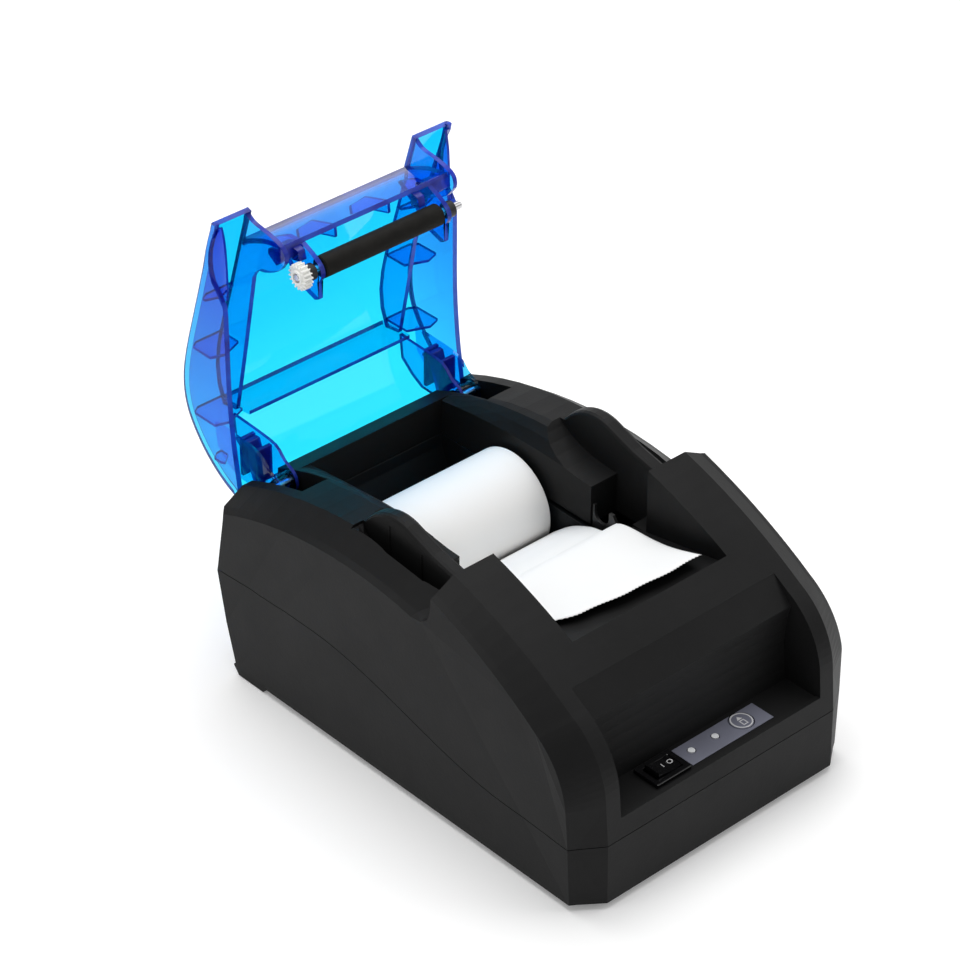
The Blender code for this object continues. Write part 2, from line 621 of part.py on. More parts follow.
def make_cover():
    wall_bottom = [(96.3, 86.4), *free_edge(), *arc((17.5, 91.6), (4.5, 96.6), (-8.2, 92.4), 8), (-11, 92.0)]
    outer = outline_mesh("cover_shell", dome_outline() + wall_bottom, -CREST_X, CREST_X)
    cover = cover_piece("cover_shell", outer, blue_clear)
    hollow = [(-30, 94.8 - SKIN - 6), *dome_outline(SKIN), (96.3 - SKIN, 60), (-30, 60)]
    inner_x = CREST_X - SKIN
    cover_tool(cover, outline_mesh("cover_hollow", hollow, -inner_x, inner_x), "DIFFERENCE")
    notch = box_mesh("horn_notch", (-HORN_X, -40, 60), (HORN_X, 3.2, 130))
    cover_tool(cover, notch, "DIFFERENCE")
    for mesh in cover_ribs():
        cover_tool(cover, mesh, "UNION")
    for side in (-1, 1):
        cover_tool(cover, scoop_mesh(f"scoop_{side}", side), "UNION")
        bore = rod_mesh(f"knuckle_bore_{side}", (side * 43, HINGE_Y, HINGE_Z), PIN_R + 0.35, 14, "X", 16)
        cover_tool(cover, bore, "DIFFERENCE")
        seat = rod_mesh(f"bush_seat_{side}", (side * 31, PLATEN_Y, PLATEN_Z), 1.5 + GAP, 9, "X", 20)
        cover_tool(cover, seat, "DIFFERENCE")
    return cover


def cover_ribs():
    """Horn walls, roller brackets, front bar, long ribs, gussets, shelf and hinge arms."""
    horn = [(-10.4, 94.6), (-7.5, 90.7), (-6.1, 82.8), (-3.1, 74.6), (1.0, 73.4), (6.0, 77.0),
            (9.6, 84.0), (10.0, 89.9), (13.8, 91.0), (45, 97.1), (74, 103.2), (76, 110.6),
            (60, 113.6), (45, 111.0), (20, 103.4), (-10, 94.9)]
    bracket = [(-2.2, 76.5), *arc((1.8, 69.9), (5.9, 65.8), (10.2, 68.4), 8), (16.6, 67.5), (17.6, 69.5),
               (14.5, 79), (9, 83), (3, 92), (-1.5, 84)]
    bar = [(8.8, 100.9), (1.2, 92.6), (-1.9, 84), (-3.1, 75.4), (-1.1, 75.2), (0.2, 84), (3.3, 91.8),
           (11, 100.0)]
    arm = [(76, 104), (77.4, 81), (84.9, 74.1), *arc((85.1, 72.8), (89.2, 69.9), (93.3, 74.1), 8), (93.0, 98.5),
           (86, 102.5)]
    shelf = [(70, 112), (72.8, 99.2), (74.5, 99.2), (72.4, 111.6)]
    meshes = [outline_mesh("front_bar", bar, -HORN_X - 0.5, HORN_X + 0.5),
              outline_mesh("shelf", shelf, -37.5, 37.5)]
    for x in (-12.0, 12.0):
        brace = [(-2.0, 80), (2.5, 92.5), (9.5, 99.8), (13, 99.0), (3.4, 78)]
        meshes.append(outline_mesh(f"bar_rib_{int(x)}", brace, x - 0.8, x + 0.8))
    for side in (-1, 1):
        def plate(name, outline, low, high):
            first, second = sorted((side * low, side * high))
            return outline_mesh(f"{name}_{side}", outline, first, second)
        meshes.append(plate("horn_wall", horn, HORN_X, HORN_X + SKIN))
        meshes.append(plate("roller_bracket", bracket, 27.4, 29.6))
        link = [(-2.8, 76.2), (0.2, 84), (2.6, 84), (5.5, 79.5), (1.4, 75.2)]
        meshes.append(plate("bracket_link", link, 27.5, 38.0))
        for n, (y, low) in enumerate(((22.5, 98.8), (45.0, 98.5), (72.0, 97.5), (86.5, 94.5))):
            inner = 38.0 if y < 80 else 47.0
            top = y - 0.7, y + 0.7
            web = [(top[0], low), (top[1], low), (top[1], 103.0), (top[0], 103.0)]
            meshes.append(plate(f"gusset_{n}", web, inner, CREST_X - 1))
            rise = [(top[0], 102.5), (top[1], 102.5), (top[1], dome_top(y) - 1), (top[0], dome_top(y) - 1)]
            meshes.append(plate(f"gusset_top_{n}", rise, inner, CREST_X - 1))
        meshes.append(plate("arm_inner", arm, 38.2, 40.2))
        meshes.append(plate("arm_outer", arm, 45.6, 47.6))
        for n, web in enumerate((((77.6, 84), (77.6, 82), (92.5, 82), (92.5, 84)),
                                 ((77.0, 93), (77.0, 91.2), (92.8, 91.2), (92.8, 93)))):
            meshes.append(plate(f"arm_web_{n}", web, 39.5, 46.5))
        name = f"knuckle_{side}"
        meshes.append(rod_mesh(name, (side * 42.9, HINGE_Y, HINGE_Z), 4.1, 9.4, "X"))
    return meshes


def dome_top(y):
    points = dome_outline()
    for (y0, z0), (y1, z1) in zip(points, points[1:]):
        if y0 <= y <= y1:
            return z0 + (z1 - z0) * (y - y0) / (y1 - y0)
    return points[-1][1]


# ---- panel, boards, paper and small parts ------------------------------------------------

def make_front_panel():
    x, y = SWITCH_X, SWITCH_Y
    wide, deep = SWITCH_SIZE[0] / 2, SWITCH_SIZE[1] / 2
    low, high = PANEL_Z + GAP, PANEL_Z + 1.7
    def block(name, inset, bottom, top):
        return box_mesh(name, (x - wide + inset, y - deep + inset, bottom),
                        (x + wide - inset, y + deep - inset, top))
    body = add_object("switch_body", block("switch_body", 0, low, high), printer, black_gloss)
    join(body, block("switch_can", 1.3, 24, low + 0.5))
    cut(body, block("switch_mouth", 2.1, 28.5, 50))

    half = wide - 2.1 - GAP
    tilt = new_empty("rocker_axis", (x, y, PANEL_Z + 0.3), printer)
    outline = [(-half + 0.35, 2.3), (-half * 0.5, 1.6), (0, 1.35), (half * 0.5, 1.6), (half - 0.35, 2.3),
               *arc((half - 0.3, 1.0), (0, -3.6), (0.3 - half, 1.0), 8)]
    rocker_y = deep - 2.1 - GAP
    key = outline_mesh("rocker", outline, -rocker_y, rocker_y, "Y")
    rocker = add_object("rocker", key, tilt, black_gloss)
    rocker.rotation_euler.y = math.radians(ROCKER_TILT)

    size_x, size_y = LABEL_SIZE
    corners = ((LABEL_X - size_x / 2, LABEL_Y - size_y / 2, PANEL_Z + 0.1),
               (LABEL_X + size_x / 2, LABEL_Y + size_y / 2, PANEL_Z + 0.4))
    label = add_object("panel_label", box_mesh("panel_label", *corners), printer, label_grey)
    cut(label, rod_mesh("label_button_hole", (BUTTON_X, BUTTON_Y, PANEL_Z), BUTTON_R + 0.3, 3, "Z"))
    for n, led_x in enumerate(LED_X):
        cut(label, rod_mesh(f"label_led_hole_{n}", (led_x, LED_Y, PANEL_Z), LED_R + 0.3, 3, "Z", 16))
        name = ("led_power", "led_status")[n]
        profile = [(0, 34.3), (LED_R, 34.3), (LED_R, 28.8), (0, 28.8)]
        turned(name, profile, led_white, printer, (led_x, LED_Y, 0), steps=16)

    press = new_empty("feed_button_guide", (BUTTON_X, BUTTON_Y, PANEL_Z), printer)
    profile = [(0, 0.5), (BUTTON_R - 0.2, 0.5), (BUTTON_R, 0.3), (BUTTON_R, -2.8),
               (BUTTON_R + 0.9, -2.8), (BUTTON_R + 0.9, -3.9), (0, -3.9)]
    turned("feed_button", profile, label_grey, press)


def make_boards():
    board = box_mesh("main_board", (-44, 26, 9.3), (44, 88, 10.9))
    board = add_object("main_board", board, printer, board_green)
    for n, (x, y, wide, deep, tall) in enumerate(BOARD_CHIPS):
        low = (x - wide / 2, y - deep / 2, 10.5)
        join(board, box_mesh(f"chip_{n}", low, (x + wide / 2, y + deep / 2, 10.9 + tall)))
    for n, (x, y) in enumerate(BOARD_POSTS):
        cut(board, rod_mesh(f"board_hole_{n}", (x, y, 10), 1.7, 4, "Z", 12))
    control = box_mesh("control_board", (-12, -81, 26.2), (28, -70.5, 27.6))
    add_object("control_board", control, printer, board_green)
    x, y = BUTTON_X, BUTTON_Y
    switch = box_mesh("feed_switch", (x - 3, y - 3, 27.9), (x + 3, y + 3, 28.8))
    add_object("feed_switch", switch, printer, black_nylon)
    sensor = box_mesh("paper_sensor", (8.4, 18.4, 33.5), (13.6, 23.6, 42.6))
    add_object("paper_sensor", sensor, printer, black_nylon)


def make_sockets():
    """Each socket is a housing with a mouth at the rear.  What stands in a mouth keeps to its back half."""
    materials = {"power_jack": black_nylon, "usb_port": bright_steel, "cash_drawer_port": black_nylon}
    mouths = {"usb_port": (4.4, 3.7), "cash_drawer_port": (5.2, 4.5)}
    for name, (low, high) in PORTS.items():
        port = add_object(name, box_mesh(name, low, high), printer, materials[name])
        x, z, rear = (low[0] + high[0]) / 2, (low[2] + high[2]) / 2, high[1]
        if name in mouths:
            wide, tall = mouths[name]
            mouth = (x - wide, rear - 9, z - tall), (x + wide, rear + 5, z + tall)
            tongue = (x - wide + 1.6, rear - 10, z - 1.2), (x + wide - 1.6, rear - 4.6, z + 1.2)
            cut(port, box_mesh(name + "_mouth", *mouth))
            join(port, box_mesh(name + "_tongue", *tongue))
        else:
            cut(port, rod_mesh("jack_bore", (x, rear, z), 3.2, 18, "Y", 20))
            join(port, rod_mesh("jack_pin", (x, rear - 7.2, z), 1.0, 5.2, "Y", 12))


def make_roll():
    axis = new_empty("roll_axis", (0, ROLL_Y, ROLL_Z), printer)
    roll = [(ROLL_R, ROLL_HALF), (ROLL_R, -ROLL_HALF), (CORE_R, -ROLL_HALF), (CORE_R, ROLL_HALF)]
    turned("paper_roll", roll, white_paper, axis, along_x=True, steps=48)
    core_half = ROLL_HALF - 0.6
    core = [(CORE_R - GAP, core_half), (CORE_R - GAP, -core_half), (CORE_BORE, -core_half),
            (CORE_BORE, core_half)]
    turned("paper_core", core, kraft_card, axis, along_x=True, steps=32)


def make_receipt():
    """The end of the paper, from the roll under the platen and over the tear bar into the tray."""
    rise = arc((27.3, 52.6), (18, 60.4), (8.5, 64.7), 6)
    dip = arc((5.9, 65.3), (2.6, 66.1), (-0.4, 68.3), 4)
    lay = arc((-4, 71.0), (-22, 74.0), (-43.5, 80.6), 8)
    path = rise + dip + lay
    half = ROLL_HALF - 0.05
    bm = bmesh.new()
    rows = [[bm.verts.new(Vector((x, y, z)) * MM) for x in (-half, half)] for y, z in path]
    for (a, b), (c, d) in zip(rows, rows[1:]):
        bm.faces.new((a, b, d, c))
    mesh = bpy.data.meshes.new("receipt_sheet")
    bm.to_mesh(mesh)
    bm.free()
    sheet = add_object("receipt_sheet", mesh, printer, white_paper)
    thick = sheet.modifiers.new("Thickness", "SOLIDIFY")
    thick.thickness = SHEET_T * MM
    thick.offset = 0.0


def make_small_parts():
    for n, (x, y) in enumerate(FEET):
        side, end = ("left" if x < 0 else "right"), ("front" if y < 0 else "rear")
        profile = [(0, 3.1), (6.0, 3.1), (6.0, 1.2), (5.2, 0.0), (0, 0.0)]
        turned(f"foot_{end}_{side}", profile, black_rubber, printer, (x, y, 0))
    for n, (x, y) in enumerate(SCREWS):
        side, end = ("left" if x < 0 else "right"), ("front" if y < 0 else "rear")
        tip = parting_z(y) + 8
        profile = [(0, tip), (0.5, tip), (1.25, tip - 1.2), (1.25, 7.2), (2.8, 7.2), (2.8, 5.6),
                   (2.2, 5.0), (0, 5.0)]
        turned(f"case_screw_{end}_{side}", profile, zinc_steel, printer, (x, y, 0), steps=16)
    for side, name in ((-1, "hinge_pin_left"), (1, "hinge_pin_right")):
        half = 6.8
        profile = [(0, half), (PIN_R - 0.3, half), (PIN_R, half - 0.3), (PIN_R, 0.3 - half),
                   (PIN_R - 0.3, -half), (0, -half)]
        place = (side * 43, HINGE_Y, HINGE_Z)
        turned(name, profile, bright_steel, printer, place, along_x=True, steps=16)


clear_scene()
parts = new_collection("receipt_printer")
tools = new_collection("cutters")

black_plastic = plastic("black_case_plastic", (0.020, 0.020, 0.022), 0.55)
bin_plastic = plastic("black_bin_plastic", (0.012, 0.012, 0.013), 0.6)
black_gloss = plastic("black_gloss_plastic", (0.008, 0.008, 0.009), 0.18)
black_nylon = plastic("black_nylon", (0.015, 0.015, 0.015), 0.45)
blue_clear = plastic("clear_blue_plastic", (0.01, 0.42, 0.95), 0.08)
white_nylon = plastic("white_nylon", (0.80, 0.80, 0.76), 0.45)
roller_rubber = plastic("roller_rubber", (0.025, 0.022, 0.020), 0.7)
black_rubber = plastic("black_rubber", (0.018, 0.018, 0.018), 0.85)
bright_steel = plastic("bright_steel", (0.62, 0.62, 0.62), 0.25, 1.0)
black_steel = plastic("black_steel", (0.02, 0.02, 0.02), 0.4)
zinc_steel = plastic("zinc_steel", (0.50, 0.50, 0.48), 0.4, 1.0)
head_ceramic = plastic("head_ceramic", (0.35, 0.30, 0.22), 0.4)
label_grey = plastic("label_grey", (0.16, 0.165, 0.20), 0.4)
led_white = plastic("led_white", (0.75, 0.76, 0.78), 0.35)
board_green = plastic("board_green", (0.02, 0.16, 0.06), 0.45)
white_paper = plastic("white_paper", (0.88, 0.88, 0.87), 0.8)
kraft_card = plastic("kraft_card", (0.42, 0.30, 0.18), 0.85)

printer = new_empty("printer", (0, -ORIGIN_Y, 0))
cover_hinge = new_empty("cover_hinge", (0, HINGE_Y, HINGE_Z), printer)
cover_hinge.rotation_euler.x = -math.radians(OPEN_ANGLE)

make_lower_case()
make_upper_case()
make_paper_bin()
make_head_bracket()
make_print_head()
make_tear_bar()
make_drive()
make_platen()
make_cover()
make_front_panel()
make_boards()
make_sockets()
make_roll()
make_receipt()
make_small_parts()
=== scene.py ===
import json
import math

import bmesh
import bpy
from mathutils import Matrix, Vector
from mathutils.bvhtree import BVHTree

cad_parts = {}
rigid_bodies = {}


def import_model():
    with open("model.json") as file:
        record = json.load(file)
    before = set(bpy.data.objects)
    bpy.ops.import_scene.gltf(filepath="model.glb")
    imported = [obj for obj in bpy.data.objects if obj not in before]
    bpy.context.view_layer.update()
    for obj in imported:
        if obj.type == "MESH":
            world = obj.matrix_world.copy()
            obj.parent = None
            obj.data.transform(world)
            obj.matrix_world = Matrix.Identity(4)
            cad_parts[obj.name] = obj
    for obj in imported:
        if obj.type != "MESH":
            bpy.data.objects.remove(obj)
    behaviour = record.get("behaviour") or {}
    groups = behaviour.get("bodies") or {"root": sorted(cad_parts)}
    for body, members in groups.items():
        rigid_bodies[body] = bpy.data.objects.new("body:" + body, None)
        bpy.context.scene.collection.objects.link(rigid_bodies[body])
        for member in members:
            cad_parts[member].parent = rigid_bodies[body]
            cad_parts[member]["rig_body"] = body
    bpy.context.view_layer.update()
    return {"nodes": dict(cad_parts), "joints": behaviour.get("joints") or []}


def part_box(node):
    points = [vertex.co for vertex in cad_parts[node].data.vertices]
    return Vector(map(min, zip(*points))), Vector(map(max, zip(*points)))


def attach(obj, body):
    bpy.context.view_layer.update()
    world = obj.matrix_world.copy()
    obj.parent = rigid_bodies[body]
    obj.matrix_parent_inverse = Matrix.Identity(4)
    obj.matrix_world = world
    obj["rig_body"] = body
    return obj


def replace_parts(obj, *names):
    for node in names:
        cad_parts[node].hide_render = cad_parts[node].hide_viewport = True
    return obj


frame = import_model()

MM = 0.001
ORIGIN_Y = 21.73            # the case frame's y of the scene's origin, in millimetres
nodes = frame["nodes"]
places = {joint["name"]: joint.get("pos_m") for joint in frame["joints"]}
hinge = places["cover_hinge"]
roll_axis = places["roll_spin"]


# ---- materials ---------------------------------------------------------------------------

class Nodes:
    """Builds a node tree in a few calls."""

    def __init__(self, name):
        self.material = bpy.data.materials.new(name)
        self.material.use_nodes = True
        self.tree = self.material.node_tree
        self.shader = self.tree.nodes["Principled BSDF"]
        self.place = self.add("ShaderNodeTexCoord").outputs["Object"]

    def add(self, kind, inputs=None, **settings):
        node = self.tree.nodes.new(kind)
        for key, value in settings.items():
            setattr(node, key, value)
        for key, value in (inputs or {}).items():
            self.set(node.inputs[key], value)
        return node

    def set(self, socket, value):
        if isinstance(value, bpy.types.NodeSocket):
            self.tree.links.new(value, socket)
        else:
            socket.default_value = value

    def principled(self, **values):
        for key, value in values.items():
            self.set(self.shader.inputs[key.replace("_", " ")], value)

    def noise(self, scale, detail=2.0, rough=0.5, place=None):
        node = self.add("ShaderNodeTexNoise", {"Scale": scale, "Detail": detail, "Roughness": rough,
                                               "Vector": place or self.place})
        return node.outputs["Fac"]

    def ramp(self, fac, low, high, start=0.0, end=1.0):
        node = self.add("ShaderNodeValToRGB", {"Fac": fac})
        node.color_ramp.elements[0].position = start
        node.color_ramp.elements[0].color = (*low, 1)
        node.color_ramp.elements[1].position = end
        node.color_ramp.elements[1].color = (*high, 1)
        return node.outputs["Color"]

    def span(self, fac, low, high, start=0.0, end=1.0):
        node = self.add("ShaderNodeMapRange", {"Value": fac, "From Min": start, "From Max": end,
                                               "To Min": low, "To Max": high})
        return node.outputs["Result"]

    def bump(self, height, strength, distance, normal=None):
        node = self.add("ShaderNodeBump", {"Height": height, "Strength": strength, "Distance": distance})
        if normal:
            self.set(node.inputs["Normal"], normal)
        return node.outputs["Normal"]


def grained_plastic(name, color, rough, grain=900.0, depth=0.00006, specular=0.35):
    """Moulded plastic with a spark-eroded grain: grain sets how fine it is, depth how deep."""
    n = Nodes(name)
    cloud = n.noise(28.0, 3.0)
    tint = n.ramp(cloud, [c * 0.86 for c in color], [c * 1.14 for c in color], 0.3, 0.7)
    fine = n.noise(grain, 3.0, 0.65)
    coarse = n.noise(grain * 0.37, 2.0)
    bump = n.bump(coarse, 0.25, depth * 1.6, n.bump(fine, 0.55, depth))
    n.principled(Base_Color=tint, Roughness=n.span(n.noise(60.0, 2.0), rough - 0.05, rough + 0.06),
                 Normal=bump, Specular_IOR_Level=specular)
    return n.material


def gloss_plastic(name, color, rough, coat=0.0):
    n = Nodes(name)
    tint = n.ramp(n.noise(70.0), [c * 0.92 for c in color], [c * 1.06 for c in color], 0.3, 0.7)
    n.principled(Base_Color=tint, Roughness=n.span(n.noise(180.0, 3.0), rough * 0.8, rough * 1.3),
                 Normal=n.bump(n.noise(420.0, 2.0), 0.08, 0.00004), Coat_Weight=coat)
    return n.material


def metal(name, color, rough, stretch=(1, 1, 1)):
    """Metal with fine lines, drawn out along an axis whose stretch is small."""
    n = Nodes(name)
    mapping = n.add("ShaderNodeMapping", {"Vector": n.place, "Scale": stretch}).outputs["Vector"]
    lines = n.noise(900.0, 3.0, 0.6, mapping)
    tint = n.ramp(n.noise(55.0), [c * 0.85 for c in color], color, 0.3, 0.7)
    n.principled(Base_Color=tint, Metallic=1.0, Roughness=n.span(lines, rough * 0.75, rough * 1.35),
                 Normal=n.bump(lines, 0.12, 0.00002))
    return n.material


def rubber(name, color, rough):
    n = Nodes(name)
    ground = n.add("ShaderNodeMapping", {"Vector": n.place, "Scale": (2.4, 1.0, 1.0)})
    grain = n.noise(1300.0, 3.0, 0.7, ground.outputs["Vector"])
    tint = n.ramp(n.noise(210.0, 3.0), [c * 0.75 for c in color], [c * 1.3 for c in color], 0.3, 0.7)
    n.principled(Base_Color=tint, Roughness=rough, Normal=n.bump(grain, 0.6, 0.00008),
                 Specular_IOR_Level=0.14)
    return n.material


# Painted shade: between these heights the cover's tint is painted deeper, standing for the deeper colour
# where more of the plastic lines up in view.
PAINTED_DEEPENING_HEIGHTS = (0.07, 0.17)     # metres above the floor, with the cover open


def clear_blue(name, low, high):
    """Clear blue styrene.  Its tint runs from low by the hinge to high at the open cover's horns, painted
    deeper upward as painted shade for the deeper colour where more of the plastic lines up in view.
    """
    n = Nodes(name)
    height = n.add("ShaderNodeSeparateXYZ", {"Vector": n.place}).outputs["Z"]
    # Painted shade: the tint runs from low to high with height, deeper up the open cover.
    tint = n.ramp(n.span(height, 0.0, 1.0, *PAINTED_DEEPENING_HEIGHTS), low, high)
    wave = n.noise(45.0, 1.0)
    n.principled(Base_Color=tint, Roughness=0.05, IOR=1.02, Transmission_Weight=1.0, Coat_Weight=0.6,
                 Coat_Roughness=0.03, Coat_IOR=1.5, Coat_Normal=n.bump(wave, 0.05, 0.0008))
    return n.material


def blue_edge(name):
    """The same styrene seen into the thickness of a wall, where it carries violet-blue light; that light
    is painted into its colour, a dark violet-blue on rims and bends.
    """
    n = Nodes(name)
    tint = n.ramp(n.noise(90.0), (0.012, 0.018, 0.30), (0.02, 0.06, 0.52), 0.35, 0.65)
    n.principled(Base_Color=tint, Roughness=0.22, IOR=1.3, Transmission_Weight=0.35, Coat_Weight=0.08,
                 Coat_IOR=1.5, Normal=n.bump(n.noise(300.0), 0.1, 0.00005))
    return n.material


def wound_ends(n, color, plain, axis):
    """(colour, height) of a roll's paper: plain round its side, and the edges of the turns on its ends."""
    flat = n.add("ShaderNodeMapping", {"Vector": n.place, "Location": (0, -axis[0], -axis[1]),
                                       "Scale": (0, 1, 1)}).outputs["Vector"]
    radius = n.add("ShaderNodeVectorMath", {0: flat}, operation="LENGTH").outputs["Value"]
    turns = n.add("ShaderNodeTexNoise", {"W": radius, "Scale": 3200.0, "Detail": 3.0},
                  noise_dimensions="1D").outputs["Fac"]
    wound = n.ramp(turns, [c * 0.84 for c in color], color, 0.3, 0.7)
    normal = n.add("ShaderNodeNewGeometry").outputs["Normal"]
    across = n.add("ShaderNodeSeparateXYZ", {"Vector": normal}).outputs["X"]
    ends = n.add("ShaderNodeMath", {0: across}, operation="ABSOLUTE").outputs["Value"]
    mix = n.add("ShaderNodeMix", data_type="RGBA")
    n.set(mix.inputs["Factor"], n.span(ends, 0.0, 1.0, 0.6, 0.9))
    n.set(mix.inputs[6], plain)
    n.set(mix.inputs[7], wound)
    return mix.outputs[2], turns


def paper(name, color, axis=None):
    """Paper.  With an axis, as (y, z) in metres, it is wound into a roll about it."""
    n = Nodes(name)
    fibre = n.noise(2400.0, 4.0, 0.6)
    tint = n.ramp(n.noise(35.0, 3.0), [c * 0.97 for c in color], color, 0.3, 0.7)
    bump = n.bump(fibre, 0.12, 0.00002)
    if axis:
        tint, turns = wound_ends(n, color, tint, axis)
        bump = n.bump(turns, 0.25, 0.00006, bump)
    n.principled(Base_Color=tint, Roughness=0.62, Normal=bump, Specular_IOR_Level=0.3)
    return n.material


def board(name):
    """Green circuit board with lighter tracks."""
    n = Nodes(name)
    tracks = n.add("ShaderNodeTexBrick", {
        "Vector": n.place, "Scale": 260.0, "Color1": (0.012, 0.13, 0.05, 1),
        "Color2": (0.018, 0.17, 0.065, 1), "Mortar": (0.03, 0.24, 0.1, 1)})
    n.principled(Base_Color=tracks.outputs["Color"], Roughness=0.35)
    return n.material


case_black = grained_plastic("case_black", (0.0095, 0.0095, 0.0097), 0.48, specular=0.12)
bin_black = grained_plastic("bin_black", (0.0065, 0.0078, 0.0090), 0.5, 700.0, specular=0.2)
nylon_black = grained_plastic("nylon_black", (0.012, 0.012, 0.012), 0.42, 1500.0, 0.00003)
gloss_black = gloss_plastic("gloss_black", (0.003, 0.003, 0.0035), 0.12, 0.15)
# cover_blue, wall_blue and rib_blue are the one styrene. wall_blue is a darker copy for the side walls,
# running to deep blue at the horns: painted shade for walls seen slantwise with more plastic lined up
# behind them.
cover_blue = clear_blue("cover_blue", (0.022, 0.66, 0.90), (0.006, 0.50, 0.86))
wall_blue = clear_blue("wall_blue", (0.030, 0.50, 0.90), (0.005, 0.080, 0.66))
rib_blue = clear_blue("rib_blue", (0.05, 0.56, 0.94), (0.03, 0.40, 0.92))
edge_blue = blue_edge("edge_blue")
nylon_white = grained_plastic("nylon_white", (0.83, 0.83, 0.80), 0.4, 1600.0, 0.00002, 0.5)
roller_black = rubber("roller_black", (0.0075, 0.0070, 0.0060), 0.66)
foot_black = rubber("foot_black", (0.016, 0.016, 0.016), 0.8)
steel = metal("steel", (0.66, 0.66, 0.67), 0.22, (0.05, 1, 1))
zinc = metal("zinc", (0.52, 0.52, 0.50), 0.38)
# Near-black gloss for the head bracket, darkened to match how dark it looks down by the head.
near_black_steel = gloss_plastic("near_black_steel", (0.010, 0.010, 0.010), 0.35)
ceramic = gloss_plastic("ceramic", (0.30, 0.26, 0.20), 0.3)
label_grey = gloss_plastic("label_grey", (0.155, 0.160, 0.205), 0.38)
lamp_white = gloss_plastic("lamp_white", (0.80, 0.81, 0.83), 0.3)
circuit = board("circuit")
thermal = paper("thermal", (0.86, 0.86, 0.858))
wound_paper = paper("wound_paper", (0.95, 0.945, 0.93), roll_axis[1:])
mark_white = gloss_plastic("mark_white", (0.62, 0.62, 0.63), 0.4)
card = paper("card", (0.40, 0.29, 0.18))

NODE_MATERIALS = {
    case_black: ("lower_case", "upper_case"),
    bin_black: ("paper_bin",),
    gloss_black: ("switch_body", "rocker"),
    nylon_black: ("bush_left", "bush_right", "feed_switch", "paper_sensor", "power_jack",
                  "cash_drawer_port"),
    nylon_white: ("platen_gear", "idler_gear", "motor_pinion"),
    roller_black: ("platen_rubber",),
    foot_black: ("foot_front_left", "foot_front_right", "foot_rear_left", "foot_rear_right"),
    steel: ("platen_shaft", "hinge_pin_left", "hinge_pin_right", "usb_port"),
    near_black_steel: ("head_bracket",),
    zinc: ("tear_bar", "stepper_motor", "case_screw_front_left", "case_screw_front_right",
           "case_screw_rear_left", "case_screw_rear_right"),
    ceramic: ("print_head",),
    label_grey: ("panel_label", "feed_button"),
    lamp_white: ("led_power", "led_status"),
    circuit: ("main_board", "control_board"),
    card: ("paper_core",),
}
for material, names in NODE_MATERIALS.items():
    for name in names:
        mesh = nodes[name].data
        mesh.materials.clear()
        mesh.materials.append(material)


def soften(name, width):
    """Rounds a CAD node's edges a little, as moulded or pressed edges are."""
    obj = nodes[name]
    weld = obj.modifiers.new("Weld", "WELD")
    weld.merge_threshold = 0.00001
    bevel = obj.modifiers.new("Round", "BEVEL")
    bevel.width = width * MM
    bevel.segments = 2
    bevel.limit_method = "ANGLE"
    bevel.angle_limit = math.radians(32)
    bevel.miter_outer = "MITER_ARC"
    normal = obj.modifiers.new("Normals", "WEIGHTED_NORMAL")
    normal.keep_sharp = True


# ---- shapes ------------------------------------------------------------------------------

def curve(points, steps=4):
    """A smooth line through the points."""
    ends = [points[0], *points, points[-1]]
    line = []
    for a, b, c, d in zip(ends, ends[1:], ends[2:], ends[3:]):
        for i in range(steps):
            t = i / steps
            line.append(tuple(0.5 * (2 * q + (r - p) * t + (2 * p - 5 * q + 4 * r - s) * t * t
                                     + (3 * q - p - 3 * r + s) * t ** 3)
                              for p, q, r, s in zip(a, b, c, d)))
    return line + [tuple(points[-1])]


def height_at(line, y):
    """The z of a line of (y, z) points at y."""
    for (y0, z0), (y1, z1) in zip(line, line[1:]):
        if y <= y1:
            return z0 + (z1 - z0) * (y - y0) / (y1 - y0)
    return line[-1][1]


def in_case(x, y, z):
    """A point in millimetres of the case's own frame."""
    return Vector((x, y - ORIGIN_Y, z)) * MM


def in_cover(x, y, z):
    """A point of the shut cover, in millimetres of the case's frame, at its place on the open cover."""
    along, up = y * MM - (hinge[1] + ORIGIN_Y * MM), z * MM - hinge[2]
    return Vector((x * MM, hinge[1] + up, hinge[2] - along))


def piece(name, bm, materials, body, smooth=True):
    """Makes the object of a finished bmesh, moving with a body and with a slot's finish."""
    bmesh.ops.recalc_face_normals(bm, faces=bm.faces)
    mesh = bpy.data.meshes.new(name)
    bm.to_mesh(mesh)
    bm.free()
    for material in materials:
        mesh.materials.append(material)
    if smooth:
        mesh.shade_smooth()
    obj = bpy.data.objects.new(name, mesh)
    bpy.context.scene.collection.objects.link(obj)
    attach(obj, body)
    return obj


def round_edges(obj, width, segments, angle):
    """Rounds the edges that are sharper than the angle."""
    bevel = obj.modifiers.new("Round", "BEVEL")
    bevel.width = width * MM
    bevel.segments = segments
    bevel.limit_method = "ANGLE"
    bevel.angle_limit = math.radians(angle)
    normal = obj.modifiers.new("Normals", "WEIGHTED_NORMAL")
    normal.keep_sharp = True
    return obj


def crisp(obj):
    """Keeps sharp edges from being shaded as if they were round."""
    split = obj.modifiers.new("Crisp", "EDGE_SPLIT")
    split.split_angle = math.radians(38)
    split.use_edge_sharp = False


def thicken(obj, thickness, offset=-1.0, rim=1):
    """Gives a skin its thickness.  Its rim takes the material that is rim slots on."""
    solid = obj.modifiers.new("Thickness", "SOLIDIFY")
    solid.thickness = thickness * MM
    solid.offset = offset
    solid.use_even_offset = True
    solid.material_offset_rim = rim
    crisp(obj)
    return obj


